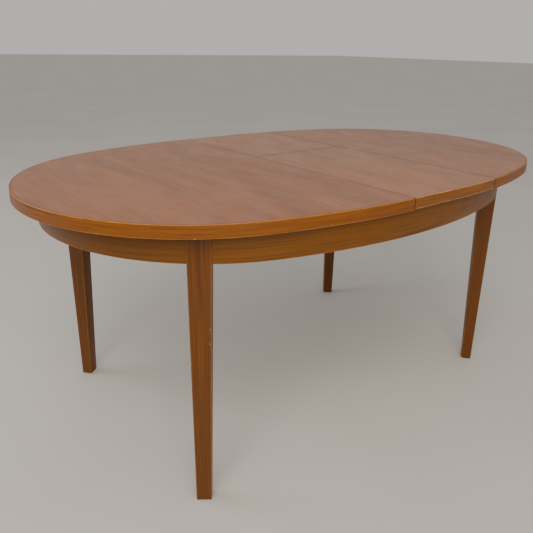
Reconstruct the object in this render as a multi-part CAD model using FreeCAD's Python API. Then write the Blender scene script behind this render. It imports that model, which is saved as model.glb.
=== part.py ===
import FreeCAD, Part
import math
import os

# Oval extending dining table: a fixed frame on four turned-in legs, two half-tops that slide
# along it on wooden runners, and a two-part folding leaf laid between them.
# Millimetres. X runs along the table, Y across it, Z up. Everything is drawn about the middle
# of the leaf, then moved so that the origin is on the floor under the middle of the whole top.
# The left half-top is half of the oval. The right one is the rest of it past RIGHT_CUT.

# --- Driving dimensions -------------------------------------------------------------------
TABLE_HEIGHT = 740.0
OVAL_LENGTH = 1580.0         # of the oval that the frame and the top are drawn on
TABLE_WIDTH = 1090.0
TOP_THICKNESS = 32.0
LEAF_THICKNESS = 30.0
END_FULLNESS = 0.92          # end radius of the four-centred oval over half its width
LEAF_WIDTH = 380.0           # along X
RIGHT_CUT = 175.0            # right seam from the middle of the oval it is cut from
LEFT_DRAW = 54.0             # left half-top, out from closed
FOLD_OFFSET = 107.0          # fold line of the leaf, towards the back

LIPPING = 6.0                # solid edging round the veneered panels
ARRIS = 1.2                  # bevel that stands for the eased arris of the edging
SEAM_GAP = 0.6               # between a half-top and the leaf
FOLD_GAP = 0.4               # between the two parts of the leaf

OVERHANG = 10.0              # the oval past the face of the apron
APRON_THICKNESS = 22.0
APRON_HEIGHT = 69.0
TOP_CLEARANCE = 1.5          # under the top, above aprons and legs

LEG_TURN = 37.5              # degrees from +Y to the outward face of a leg
LEG_WIDTH = 55.0             # across the outward face, at the apron
LEG_DEPTH = 55.0
FOOT_WIDTH = 38.0
FOOT_DEPTH = 32.0
LEG_PROUD = 3.0              # outward face in front of the apron
LEG_ARRIS = 3.0
FOOT_CHAMFER = 2.0

TENON_THICKNESS = 9.0
TENON_LENGTH = 18.0
TENON_SHOULDER = 9.0         # apron above and below its tenon
TENON_INSET = 6.0            # apron face to tenon

BLOCK_HALF_WIDTH = 60.0
BLOCK_THICKNESS = 34.0       # behind the leg
BLOCK_MARGIN = 8.0           # below the top edge and above the bottom edge of the apron

BOLT_RADIUS = 4.0
BOLT_HOLE_RADIUS = 4.6
BOLT_IN_LEG = 26.0
BOLT_END = 14.0              # past the corner block
BOLT_SPACING = 27.0
WASHER_RADIUS = 9.0
WASHER_THICKNESS = 1.6
NUT_ACROSS_FLATS = 13.0
NUT_HEIGHT = 6.5
THREAD_CLEARANCE = 0.05

RUNNER_THICKNESS = 18.0
RUNNER_HEIGHT = 40.0
GUIDE_THICKNESS = 22.0
GUIDE_HEIGHT = 48.0
RUNNER_CLEARANCE = 1.0       # between a runner and the guide rail
RUNNER_RELIEF = 1.0          # runner below the other half-top, from its own seam on
TONGUE_DEPTH = 5.5           # into the groove
TONGUE_HEIGHT = 10.0
GROOVE_SPARE = 0.5           # past the tongue, and twice the play above and below it
RUNNER_HELD_LEAST = 100.0    # runner under its own half-top
RELEASE_GAP = 24.0           # extra travel that frees the leaf
GUIDE_TO_LEG = 120.0         # runner stop to the middle of the leg, along X
STOP_LENGTH = 20.0
STOP_HEIGHT = 30.0
STOP_PLAY = 0.5

WELL_CLEARANCE = 5.0         # round the folded leaf, along Y
WELL_END_CLEARANCE = 6.0     # and along X
WELL_HEADROOM = 0.9          # over the folded leaf and its felts
CROSS_RAIL_WIDTH = 60.0
LEDGE_THICKNESS = 5.0
LEDGE_WIDTH = 60.0
LEDGE_OFFSET = 200.0         # middle of a ledge from the middle of the table

DOWEL_RADIUS = 4.0
DOWEL_LENGTH = 32.0
DOWEL_IN_APRON = 12.0
DOWEL_SPACING = 30.0

PIN_RADIUS = 4.0
PIN_IN_PANEL = 20.0
PIN_PROUD = 10.0
PIN_SLOT_PLAY = 1.0
FRONT_PIN = {"left": -290.0, "right": -230.0}
BACK_PIN_TO_FOLD = {"left": 80.0, "right": 40.0}

BARREL_RADIUS = 6.0
BARREL_DEPTH = 18.0
BARREL_COVER = 3.5           # wood left over a hinge barrel
BARREL_SPACING = 120.0
BARREL_COUNT = 3

FELT_WIDTH = 14.0
FELT_END = 12.0              # felt to the edge of the leaf

SCREW_RADIUS = 2.0
SCREW_HEAD_RADIUS = 4.0
SCREW_HEAD_HEIGHT = 2.4
SCREW_BITE = 16.0            # into the piece that is held
RUNNER_SCREWS = 3
RUNNER_SCREW_EDGE = 16.0
RAIL_SCREW_SPACING = 34.0

CATCH_REACH = 28.0           # hook pivot to keeper when closed
CATCH_SETBACK = 12.0         # pivot from the face of the outer runner
CATCH_PLATE_LENGTH = 30.0
CATCH_PLATE_WIDTH = 16.0
CATCH_PLATE_THICKNESS = 2.0
CATCH_PIN_RADIUS = 2.5
CATCH_PIN_IN_PANEL = 10.0
CATCH_HEAD_RADIUS = 5.0
CATCH_HEAD_HEIGHT = 1.8
HOOK_THICKNESS = 3.0
HOOK_PLAY = 0.8              # above and below the hook
HOOK_BORE_PLAY = 0.08
HOOK_HUB_RADIUS = 7.0
HOOK_WIDTH = 10.0
HOOK_TIP = 7.0               # past the keeper
HOOK_THROAT_RADIUS = 3.4

# --- Derived places -----------------------------------------------------------------------
HALF_LENGTH = OVAL_LENGTH / 2
HALF_WIDTH = TABLE_WIDTH / 2
HALF_LEAF = LEAF_WIDTH / 2

END_RADIUS = END_FULLNESS * HALF_WIDTH
END_CENTRE = HALF_LENGTH - END_RADIUS
SIDE_RADIUS = (
    (HALF_LENGTH ** 2 + HALF_WIDTH ** 2 - 2 * HALF_LENGTH * END_RADIUS)
    / (2 * (HALF_WIDTH - END_RADIUS))
)
SIDE_DROP = SIDE_RADIUS - HALF_WIDTH
JOIN_ANGLE = math.atan2(END_CENTRE, SIDE_DROP)

RIGHT_MIDDLE = HALF_LEAF - RIGHT_CUT
ORIGIN_X = (RIGHT_MIDDLE - HALF_LEAF) / 2
TOP_UNDER = TABLE_HEIGHT - TOP_THICKNESS
APRON_TOP = TOP_UNDER - TOP_CLEARANCE
APRON_BOTTOM = APRON_TOP - APRON_HEIGHT
APRON_INNER = OVERHANG + APRON_THICKNESS

LEG_SIN = math.sin(math.radians(LEG_TURN))
LEG_COS = math.cos(math.radians(LEG_TURN))
LEG_REACH = END_RADIUS - OVERHANG + LEG_PROUD - LEG_DEPTH / 2
LEG_X = END_CENTRE + LEG_REACH * LEG_SIN
LEG_Y = LEG_REACH * LEG_COS

STOP_X = LEG_X - GUIDE_TO_LEG
GUIDE_END = STOP_X + STOP_LENGTH
MOST_DRAW = STOP_X - STOP_PLAY - RUNNER_HELD_LEAST - RELEASE_GAP
RIGHT_DRAWN = min(LEAF_WIDTH - LEFT_DRAW, MOST_DRAW)
LEFT_DRAWN = LEAF_WIDTH - RIGHT_DRAWN
LEAF_SHIFT = RIGHT_DRAWN - HALF_LEAF
FRAME_X = -LEAF_SHIFT
TRAVEL = max(LEFT_DRAWN, RIGHT_DRAWN) + RELEASE_GAP
RUNNER_LENGTH = 2 * STOP_X - TRAVEL - 2 * STOP_PLAY
RUNNER_HELD = STOP_X - TRAVEL - STOP_PLAY

LONG_PART = HALF_WIDTH + FOLD_OFFSET
INNER_RUNNER_Y = LONG_PART / 2 + WELL_CLEARANCE
GUIDE_Y = INNER_RUNNER_Y + RUNNER_THICKNESS + RUNNER_CLEARANCE
OUTER_RUNNER_Y = GUIDE_Y + GUIDE_THICKNESS + RUNNER_CLEARANCE
GUIDE_BOTTOM = TOP_UNDER - GUIDE_HEIGHT
RUNNER_BOTTOM = TOP_UNDER - RUNNER_HEIGHT
TONGUE_MIDDLE = TOP_UNDER - RUNNER_HEIGHT / 2

FELT_THICKNESS = TOP_THICKNESS - LEAF_THICKNESS
LEAF_UNDER = TABLE_HEIGHT - LEAF_THICKNESS
LEDGE_TOP = TOP_UNDER - WELL_HEADROOM - 2 * TOP_THICKNESS - FOLD_GAP
LEDGE_BOTTOM = LEDGE_TOP - LEDGE_THICKNESS
CROSS_RAIL_X = HALF_LEAF + WELL_END_CLEARANCE + CROSS_RAIL_WIDTH / 2

CATCH_Y = OUTER_RUNNER_Y + RUNNER_THICKNESS + CATCH_SETBACK
HOOK_TOP = TOP_UNDER - CATCH_PLATE_THICKNESS - HOOK_PLAY
CATCH_HEAD_TOP = HOOK_TOP - HOOK_THICKNESS - HOOK_PLAY

UP = FreeCAD.Vector(0, 0, 1)
SIDES = {"front": -1, "back": 1}
ENDS = {"left": -1, "right": 1}


# --- Shapes in general --------------------------------------------------------------------
def point(x, y, z=0.0):
    return FreeCAD.Vector(x, y, z)


def block(x_span, y_span, z_span):
    """A box between two values on each axis, given in either order."""
    low = point(min(x_span), min(y_span), min(z_span))
    high = point(max(x_span), max(y_span), max(z_span))
    size = high - low
    return Part.makeBox(size.x, size.y, size.z, low)


def rod(radius, start, end):
    """A round bar from one point to another."""
    run = end - start
    return Part.makeCylinder(radius, run.Length, start, run)


def arc(start, middle, end):
    return Part.Arc(start, middle, end).toShape()


def prism(wire, bottom, top):
    """A wire drawn at z = 0, filled and raised between two heights."""
    face = Part.Face(wire)
    face.translate(point(0, 0, bottom))
    return face.extrude(point(0, 0, top - bottom))


def cut_all(shape, tools):
    """The shape with every tool taken out of it."""
    return shape.cut(Part.makeCompound(tools)) if tools else shape


def moved(shape, x, y=0.0, z=0.0):
    copy = shape.copy()
    copy.translate(point(x, y, z))
    return copy


def wood_screw(head, direction, length):
    """A countersunk screw whose flat head is at one point and whose shank runs along a direction."""
    way = FreeCAD.Vector(direction)
    way.normalize()
    cone = Part.makeCone(SCREW_HEAD_RADIUS, SCREW_RADIUS, SCREW_HEAD_HEIGHT, head, way)
    return cone.fuse(Part.makeCylinder(SCREW_RADIUS, length, head, way)).removeSplitter()


# --- The four-centred oval ----------------------------------------------------------------
def side_point(inset, angle):
    """A point of the long side arc, at an angle from +Y about that arc's centre."""
    radius = SIDE_RADIUS - inset
    return point(radius * math.sin(angle), radius * math.cos(angle) - SIDE_DROP)


def flipped(at, x_sign, y_sign):
    return point(at.x * x_sign, at.y * y_sign)


def oval_wire(inset):
    """The closed top's outline, drawn in by an inset, about the origin."""
    join = side_point(inset, JOIN_ANGLE)
    crown = side_point(inset, 0)
    tip = point(HALF_LENGTH - inset, 0)
    edges = [
        arc(flipped(join, -1, 1), crown, join),
        arc(join, tip, flipped(join, 1, -1)),
        arc(flipped(join, 1, -1), flipped(crown, 1, -1), flipped(join, -1, -1)),
        arc(flipped(join, -1, -1), flipped(tip, -1, 1), flipped(join, -1, 1)),
    ]
    return Part.Wire(edges)


def end_points(inset, end, middle):
    """Seven points round one end of the top, from its back edge to its front edge."""
    crown = side_point(inset, 0)
    shoulder = side_point(inset, JOIN_ANGLE / 2)
    join = side_point(inset, JOIN_ANGLE)
    tip = point(HALF_LENGTH - inset, 0)
    back = [flipped(at, end, 1) for at in (crown, shoulder, join, tip)]
    front = [flipped(at, end, -1) for at in (join, shoulder, crown)]
    return [at + point(middle, 0) for at in back + front]


def top_wire(inset):
    """The whole top's outline: the oval parted at the left seam, with a straight stretch between."""
    left = end_points(inset, -1, -HALF_LEAF)
    right = end_points(inset, 1, RIGHT_MIDDLE)
    edges = [Part.makeLine(left[0], right[0]), Part.makeLine(right[-1], left[-1])]
    for places in (left, right):
        edges += [arc(*places[k:k + 3]) for k in (0, 2, 4)]
    return Part.Wire(Part.__sortEdges__(edges))


def frame_oval(inset, bottom, top):
    """The outline as a solid, centred on the frame."""
    return moved(prism(oval_wire(inset), bottom, top), FRAME_X)


# --- Legs ---------------------------------------------------------------------------------
def place_leg(shape, end, side):
    """Moves a shape from a leg's own axes (x along its face, y outwards) to its corner."""
    turn = math.degrees(math.atan2(-end * LEG_SIN, side * LEG_COS))
    copy = shape.copy()
    copy.rotate(point(0, 0), UP, turn)
    copy.translate(point(FRAME_X + end * LEG_X, side * LEG_Y))
    return copy


def leg_section(width, depth, height):
    corners = [
        point(x * width / 2, y * depth / 2, height)
        for x, y in ((-1, -1), (1, -1), (1, 1), (-1, 1), (-1, -1))
    ]
    return Part.makePolygon(corners)


def leg_stock():
    """The square upper part of a leg, before its arrises are rounded."""
    half_width = LEG_WIDTH / 2
    half_depth = LEG_DEPTH / 2
    return block((-half_width, half_width), (-half_depth, half_depth), (APRON_BOTTOM, APRON_TOP))


def leg_blank():
    """A leg in its own axes: straight beside the apron, then tapered on four sides."""
    sections = [
        leg_section(FOOT_WIDTH, FOOT_DEPTH, 0),
        leg_section(LEG_WIDTH, LEG_DEPTH, APRON_BOTTOM),
        leg_section(LEG_WIDTH, LEG_DEPTH, APRON_TOP),
    ]
    leg = Part.makeLoft(sections, True, True)
    upright = [e for e in leg.Edges if abs(e.BoundBox.ZLength) > LEG_WIDTH]
    leg = leg.makeFillet(LEG_ARRIS, upright)
    foot = [e for e in leg.Edges if e.BoundBox.ZMax < FOOT_CHAMFER]
    return leg.makeChamfer(FOOT_CHAMFER, foot)


def tenons(end, side):
    """The two apron tenons let into one leg, as solids in place."""
    outer = frame_oval(OVERHANG + TENON_INSET, APRON_BOTTOM + TENON_SHOULDER, APRON_TOP - TENON_SHOULDER)
    inner = frame_oval(OVERHANG + TENON_INSET + TENON_THICKNESS, APRON_BOTTOM, APRON_TOP)
    band = outer.cut(inner)
    half_width = LEG_WIDTH / 2
    found = []
    for way in (-1, 1):
        depth = (way * (half_width - TENON_LENGTH), way * half_width)
        slab = block(depth, (-LEG_DEPTH / 2, LEG_DEPTH / 2), (APRON_BOTTOM, APRON_TOP))
        found.append(band.common(place_leg(slab, end, side)))
    return found


# --- Aprons -------------------------------------------------------------------------------
def aprons(stocks, all_tenons):
    """The curved rim cut at the legs into four rails, each with its tenons."""
    heights = (APRON_BOTTOM, APRON_TOP)
    rim = frame_oval(OVERHANG, *heights).cut(frame_oval(APRON_INNER, *heights))
    rails = {}
    for rail in cut_all(rim, stocks).Solids:
        middle = rail.CenterOfMass
        across = abs(middle.x - FRAME_X) > abs(middle.y)
        names = ENDS if across else SIDES
        place = middle.x - FRAME_X if across else middle.y
        name = next(n for n, sign in names.items() if sign * place > 0)
        own = [t for t in all_tenons if t.distToShape(rail)[0] < THREAD_CLEARANCE]
        rails["apron_" + name] = rail.fuse(own).removeSplitter()
    return rails


# --- Corner blocks and leg bolts ----------------------------------------------------------
def bolt_heights():
    middle = (APRON_TOP + APRON_BOTTOM) / 2
    return (middle - BOLT_SPACING / 2, middle + BOLT_SPACING / 2)


def along_bolt(near, far, radius, height):
    """A round bar along a leg bolt, in the leg's own axes, between two distances inwards."""
    return rod(radius, point(0, -near, height), point(0, -far, height))


def corner_block(end, side, stock):
    """A notched block glued round the back of a leg and to both aprons."""
    inwards = LEG_DEPTH / 2 + BLOCK_THICKNESS
    heights = (APRON_BOTTOM + BLOCK_MARGIN, APRON_TOP - BLOCK_MARGIN)
    blank = block((-BLOCK_HALF_WIDTH, BLOCK_HALF_WIDTH), (-inwards, LEG_DEPTH / 2), heights)
    blank = place_leg(blank, end, side).common(frame_oval(APRON_INNER, *heights)).cut(stock)
    holes = [
        place_leg(along_bolt(0, inwards + BOLT_END, BOLT_HOLE_RADIUS, height), end, side)
        for height in bolt_heights()
    ]
    return cut_all(blank, holes)


def leg_bolt(height, radius):
    reach = LEG_DEPTH / 2 + BLOCK_THICKNESS + BOLT_END
    return along_bolt(LEG_DEPTH / 2 - BOLT_IN_LEG, reach, radius, height)


def leg_washer(height):
    near = LEG_DEPTH / 2 + BLOCK_THICKNESS
    far = near + WASHER_THICKNESS
    ring = along_bolt(near, far, WASHER_RADIUS, height)
    return ring.cut(along_bolt(near, far, BOLT_HOLE_RADIUS, height))


def leg_nut(height):
    near = LEG_DEPTH / 2 + BLOCK_THICKNESS + WASHER_THICKNESS
    far = near + NUT_HEIGHT
    corner = NUT_ACROSS_FLATS / math.sqrt(3)
    angles = [k * math.pi / 3 for k in range(7)]
    outline = [point(corner * math.cos(a), -near, height + corner * math.sin(a)) for a in angles]
    nut = Part.Face(Part.makePolygon(outline)).extrude(point(0, near - far))
    return nut.cut(along_bolt(near, far, BOLT_RADIUS + THREAD_CLEARANCE, height))


# --- Cross rails, guide rails and ledges --------------------------------------------------
def ledge(side):
    """A strip that the folded leaf lies on, let in flush under both cross rails."""
    reach = CROSS_RAIL_X + CROSS_RAIL_WIDTH / 2
    middle = side * LEDGE_OFFSET
    spread = LEDGE_WIDTH / 2
    x_span = (FRAME_X - reach, FRAME_X + reach)
    return block(x_span, (middle - spread, middle + spread), (LEDGE_BOTTOM, LEDGE_TOP))


def cross_rail(end, ledges):
    """A flat rail from apron to apron, under the guide rails."""
    middle = FRAME_X + end * CROSS_RAIL_X
    spread = CROSS_RAIL_WIDTH / 2
    heights = (LEDGE_BOTTOM, GUIDE_BOTTOM)
    blank = block((middle - spread, middle + spread), (-HALF_WIDTH, HALF_WIDTH), heights)
    return cut_all(blank.common(frame_oval(APRON_INNER, *heights)), ledges)


def rail_dowels():
    """Dowels from the ends of the cross rails into the aprons."""
    found = []
    height = (max(LEDGE_BOTTOM, APRON_BOTTOM) + GUIDE_BOTTOM) / 2
    inner = frame_oval(APRON_INNER, APRON_BOTTOM, APRON_TOP)
    for end in ENDS.values():
        for shift in (-DOWEL_SPACING / 2, DOWEL_SPACING / 2):
            x = FRAME_X + end * CROSS_RAIL_X + shift
            line = Part.makeLine(point(x, -HALF_WIDTH, height), point(x, HALF_WIDTH, height))
            reach = line.common(inner).BoundBox.YMax
            for side in SIDES.values():
                tip = side * (reach + DOWEL_IN_APRON)
                root = tip - side * DOWEL_LENGTH
                found.append(rod(DOWEL_RADIUS, point(x, root, height), point(x, tip, height)))
    return found


def groove(face, away):
    """The groove in one side of a guide rail; away is the way into the wood."""
    low = TONGUE_MIDDLE - TONGUE_HEIGHT / 2 - GROOVE_SPARE / 2
    high = TONGUE_MIDDLE + TONGUE_HEIGHT / 2 + GROOVE_SPARE / 2
    depth = TONGUE_DEPTH + GROOVE_SPARE
    return block((FRAME_X - GUIDE_END, FRAME_X + GUIDE_END), (face, face + away * depth), (low, high))


def guide_rail(side):
    """A fixed rail with a groove along each side."""
    near = side * GUIDE_Y
    far = side * (GUIDE_Y + GUIDE_THICKNESS)
    rail = block((FRAME_X - GUIDE_END, FRAME_X + GUIDE_END), (near, far), (GUIDE_BOTTOM, TOP_UNDER))
    return cut_all(rail, [groove(near, side), groove(far, -side)])


def guide_screws():
    """Screws up through the cross rails into the guide rails."""
    found = []
    length = GUIDE_BOTTOM - LEDGE_BOTTOM + SCREW_BITE
    for end in ENDS.values():
        for side in SIDES.values():
            for shift in (-RAIL_SCREW_SPACING / 2, RAIL_SCREW_SPACING / 2):
                x = FRAME_X + end * CROSS_RAIL_X + shift
                y = side * (GUIDE_Y + GUIDE_THICKNESS / 2)
                found.append(wood_screw(point(x, y, LEDGE_BOTTOM), UP, length))
    return found


def ledge_screws():
    """Screws up through the ledges into the cross rails."""
    found = []
    for end in ENDS.values():
        for side in SIDES.values():
            for shift in (-RAIL_SCREW_SPACING / 2, RAIL_SCREW_SPACING / 2):
                x = FRAME_X + end * CROSS_RAIL_X
                y = side * LEDGE_OFFSET + shift
                found.append(wood_screw(point(x, y, LEDGE_BOTTOM), UP, LEDGE_THICKNESS + SCREW_BITE))
    return found


def runner_stops():
    """Blocks on the sides of the guide rails where each runner's travel ends."""
    found = []
    heights = (TONGUE_MIDDLE - STOP_HEIGHT / 2, TONGUE_MIDDLE + STOP_HEIGHT / 2)
    for side in SIDES.values():
        outer = side * (GUIDE_Y + GUIDE_THICKNESS)
        inner = side * GUIDE_Y
        depth = RUNNER_CLEARANCE + RUNNER_THICKNESS
        left = (FRAME_X - GUIDE_END, FRAME_X - STOP_X)
        right = (FRAME_X + STOP_X, FRAME_X + GUIDE_END)
        found.append(block(left, (outer, outer + side * depth), heights))
        found.append(block(right, (inner, inner - side * depth), heights))
    return found


# --- Half-tops ----------------------------------------------------------------------------
def top_stretch(x_span, y_span, bottom):
    """The veneered panel and the solid edging of a stretch of the top."""
    slab = block(x_span, y_span, (bottom, TABLE_HEIGHT))
    panel = prism(top_wire(LIPPING), bottom, TABLE_HEIGHT).common(slab)
    strip = prism(top_wire(0), bottom, TABLE_HEIGHT).common(slab).cut(panel)
    within = prism(top_wire(LIPPING / 2), bottom - LIPPING, TABLE_HEIGHT + LIPPING)

    def is_outer_arris(edge):
        middle = edge.valueAt((edge.FirstParameter + edge.LastParameter) / 2)
        level = abs(edge.BoundBox.ZLength) < ARRIS / 10
        return level and edge.Length > 2 * LIPPING and not within.isInside(middle, ARRIS / 10, True)

    return panel, strip.makeChamfer(ARRIS, [e for e in strip.Edges if is_outer_arris(e)])


def half_top(end):
    """The panel and edging on one side of the leaf."""
    seam = end * HALF_LEAF
    return top_stretch((seam, seam + end * OVAL_LENGTH), (-HALF_WIDTH, HALF_WIDTH), TOP_UNDER)


def runner_band(end):
    """Where a half-top's runners stand across the table: left outside the guides, right inside."""
    return OUTER_RUNNER_Y if end < 0 else INNER_RUNNER_Y


def runner_span(end):
    """The ends of a half-top's runners along X, from the outer end inwards."""
    drawn = LEFT_DRAWN if end < 0 else RIGHT_DRAWN
    outer = FRAME_X + end * (STOP_X - STOP_PLAY - (TRAVEL - drawn))
    return (outer, outer - end * RUNNER_LENGTH)


def runner(end, side):
    """A hardwood runner under a half-top, with a tongue in the guide rail's groove."""
    span = runner_span(end)
    near = side * runner_band(end)
    far = side * (runner_band(end) + RUNNER_THICKNESS)
    bar = block(span, (near, far), (RUNNER_BOTTOM, TOP_UNDER))
    past_seam = (end * HALF_LEAF, span[1])
    bar = bar.cut(block(past_seam, (near, far), (TOP_UNDER - RUNNER_RELIEF, TOP_UNDER)))
    face = near if end < 0 else far
    towards = -side if end < 0 else side
    reach = RUNNER_CLEARANCE + TONGUE_DEPTH
    heights = (TONGUE_MIDDLE - TONGUE_HEIGHT / 2, TONGUE_MIDDLE + TONGUE_HEIGHT / 2)
    tongue = block(span, (face, face + towards * reach), heights)
    return bar.fuse(tongue).removeSplitter()


def runner_screws(end):
    """Screws up through the runners, where they lie under their own half-top."""
    found = []
    step = (RUNNER_HELD - 2 * RUNNER_SCREW_EDGE) / (RUNNER_SCREWS - 1)
    for side in SIDES.values():
        y = side * (runner_band(end) + RUNNER_THICKNESS / 2)
        for k in range(RUNNER_SCREWS):
            x = runner_span(end)[0] - end * (RUNNER_SCREW_EDGE + k * step)
            found.append(wood_screw(point(x, y, RUNNER_BOTTOM), UP, RUNNER_HEIGHT + SCREW_BITE))
    return found


def pin_rows(name):
    """Where a half-top's pins stand across the table, both in front of the fold."""
    return (FRONT_PIN[name], FOLD_OFFSET - BACK_PIN_TO_FOLD[name])


def locating_pins(name, end):
    """Round pins that stand out of a half-top's seam."""
    height = TABLE_HEIGHT - TOP_THICKNESS / 2
    seam = end * HALF_LEAF
    root = seam + end * PIN_IN_PANEL
    tip = seam - end * PIN_PROUD
    return [rod(PIN_RADIUS, point(root, y, height), point(tip, y, height)) for y in pin_rows(name)]


def pin_slots(seam, into, name):
    """Slots open at the bottom that drop over a half-top's pins; into is the way into the wood."""
    height = TABLE_HEIGHT - TOP_THICKNESS / 2
    reach = PIN_RADIUS + PIN_SLOT_PLAY
    depth = into * (PIN_PROUD + PIN_SLOT_PLAY)
    found = []
    for y in pin_rows(name):
        mouth = block((seam, seam + depth), (y - reach, y + reach), (TOP_UNDER, height))
        crown = rod(reach, point(seam, y, height), point(seam + depth, y, height))
        found.append(mouth.fuse(crown).removeSplitter())
    return found


# --- Catch that holds the closed top together ---------------------------------------------
def catch_pivot(side):
    return point(-HALF_LEAF - CATCH_REACH / 2, side * CATCH_Y)


def headed_pin(at, top):
    """A brass pin down from a height, with a head under the hook."""
    shank = rod(CATCH_PIN_RADIUS, point(at.x, at.y, CATCH_HEAD_TOP), point(at.x, at.y, top))
    bottom = CATCH_HEAD_TOP - CATCH_HEAD_HEIGHT
    head = rod(CATCH_HEAD_RADIUS, point(at.x, at.y, bottom), point(at.x, at.y, CATCH_HEAD_TOP))
    return shank.fuse(head).removeSplitter()


def catch_plate(side):
    """The plate under the left half-top with the pin that its hook turns on."""
    at = catch_pivot(side)
    long_way = CATCH_PLATE_LENGTH / 2
    wide_way = CATCH_PLATE_WIDTH / 2
    x_span = (at.x - long_way, at.x + wide_way)
    heights = (TOP_UNDER - CATCH_PLATE_THICKNESS, TOP_UNDER)
    plate = block(x_span, (at.y - wide_way, at.y + wide_way), heights)
    return plate.fuse(headed_pin(at, TOP_UNDER)).removeSplitter()


def catch_keeper(side):
    """The headed pin under the right half-top that the hook closes round."""
    at = point(HALF_LEAF + CATCH_REACH / 2, side * CATCH_Y)
    return headed_pin(at, TOP_UNDER + CATCH_PIN_IN_PANEL)


def catch_hook(side):
    """A flat hook, parked square to the table with its throat facing the seam."""
    at = catch_pivot(side)
    heights = (HOOK_TOP - HOOK_THICKNESS, HOOK_TOP)
    hub = prism_disc(at, HOOK_HUB_RADIUS, heights)
    half = HOOK_WIDTH / 2
    keeper_y = at.y + side * CATCH_REACH
    bar = block((at.x - half, at.x + half), (at.y, keeper_y + side * HOOK_TIP), heights)
    throat = prism_disc(point(at.x, keeper_y), HOOK_THROAT_RADIUS, heights)
    spread = HOOK_THROAT_RADIUS
    mouth = block((at.x, at.x + HOOK_WIDTH), (keeper_y - spread, keeper_y + spread), heights)
    bore = prism_disc(at, CATCH_PIN_RADIUS + HOOK_BORE_PLAY, heights)
    return cut_all(hub.fuse(bar).removeSplitter(), [throat, mouth, bore])


def prism_disc(at, radius, heights):
    low, high = heights
    return rod(radius, point(at.x, at.y, low), point(at.x, at.y, high))


# --- Leaf ---------------------------------------------------------------------------------
LEAF_X = (-HALF_LEAF + SEAM_GAP, HALF_LEAF - SEAM_GAP)


def fold_face(side):
    return FOLD_OFFSET + side * FOLD_GAP / 2


def leaf_part(side):
    """The panel and edging of one part of the leaf, from the fold out to its end."""
    return top_stretch(LEAF_X, (fold_face(side), side * HALF_WIDTH), LEAF_UNDER)


def hinge_barrels(side):
    """Concealed brass barrels let into one face of the fold."""
    height = TABLE_HEIGHT - BARREL_COVER - BARREL_RADIUS
    middle = (BARREL_COUNT - 1) / 2
    face = fold_face(side)
    found = []
    for k in range(BARREL_COUNT):
        x = (k - middle) * BARREL_SPACING
        root = point(x, face + side * BARREL_DEPTH, height)
        found.append(rod(BARREL_RADIUS, point(x, face, height), root))
    return found


def leaf_felt(side):
    """A felt strip under the leaf that rests on a guide rail."""
    middle = side * (GUIDE_Y + GUIDE_THICKNESS / 2)
    spread = FELT_WIDTH / 2
    x_span = (LEAF_X[0] + FELT_END, LEAF_X[1] - FELT_END)
    return block(x_span, (middle - spread, middle + spread), (LEAF_UNDER - FELT_THICKNESS, LEAF_UNDER))


# --- Putting the table together -----------------------------------------------------------
def build_frame():
    pieces = {}
    stocks = []
    all_tenons = []
    bolts = []
    washers = []
    nuts = []
    for end_name, end in ENDS.items():
        for side_name, side in SIDES.items():
            stock = place_leg(leg_stock(), end, side)
            own_tenons = tenons(end, side)
            threads = [leg_bolt(h, BOLT_RADIUS + THREAD_CLEARANCE) for h in bolt_heights()]
            leg = cut_all(place_leg(cut_all(leg_blank(), threads), end, side), own_tenons)
            pieces["leg_%s_%s" % (side_name, end_name)] = leg
            pieces["corner_block_%s_%s" % (side_name, end_name)] = corner_block(end, side, stock)
            bolts += [place_leg(leg_bolt(h, BOLT_RADIUS), end, side) for h in bolt_heights()]
            washers += [place_leg(leg_washer(h), end, side) for h in bolt_heights()]
            nuts += [place_leg(leg_nut(h), end, side) for h in bolt_heights()]
            stocks.append(stock)
            all_tenons += own_tenons
    pieces.update(aprons(stocks, all_tenons))
    pieces["leg_bolts"] = Part.makeCompound(bolts)
    pieces["leg_washers"] = Part.makeCompound(washers)
    pieces["leg_nuts"] = Part.makeCompound(nuts)

    dowels = rail_dowels()
    up_screws = guide_screws()
    strip_screws = ledge_screws()
    ledges = [ledge(side) for side in SIDES.values()]
    for name in ("apron_front", "apron_back"):
        pieces[name] = cut_all(pieces[name], dowels)
    for name, end in ENDS.items():
        pieces["cross_rail_" + name] = cut_all(cross_rail(end, ledges), dowels + up_screws + strip_screws)
    for name, side in SIDES.items():
        pieces["guide_rail_" + name] = cut_all(guide_rail(side), up_screws)
        pieces["leaf_ledge_" + name] = cut_all(ledge(side), strip_screws)
    pieces["rail_dowels"] = Part.makeCompound(dowels)
    pieces["guide_rail_screws"] = Part.makeCompound(up_screws)
    pieces["leaf_ledge_screws"] = Part.makeCompound(strip_screws)
    pieces["runner_stops"] = Part.makeCompound(runner_stops())
    return pieces


def build_half_top(name, end):
    pieces = {}
    pins = locating_pins(name, end)
    screws = runner_screws(end)
    keepers = [catch_keeper(side) for side in SIDES.values()]
    other = next(n for n in ENDS if n != name)
    cuts = pins + screws + pin_slots(end * HALF_LEAF, end, other)
    pieces["locating_pins_" + name] = Part.makeCompound(pins)
    pieces["runner_screws_" + name] = Part.makeCompound(screws)
    for side_name, side in SIDES.items():
        pieces["runner_%s_%s" % (name, side_name)] = cut_all(runner(end, side), screws)
    if end < 0:
        pieces["catch_plates"] = Part.makeCompound([catch_plate(side) for side in SIDES.values()])
        for side_name, side in SIDES.items():
            pieces["catch_hook_" + side_name] = catch_hook(side)
    else:
        pieces["catch_keepers"] = Part.makeCompound(keepers)
        cuts += keepers
    panel, edging = half_top(end)
    pieces["half_top_%s_panel" % name] = cut_all(panel, cuts)
    pieces["half_top_%s_lipping" % name] = edging
    return pieces


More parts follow.
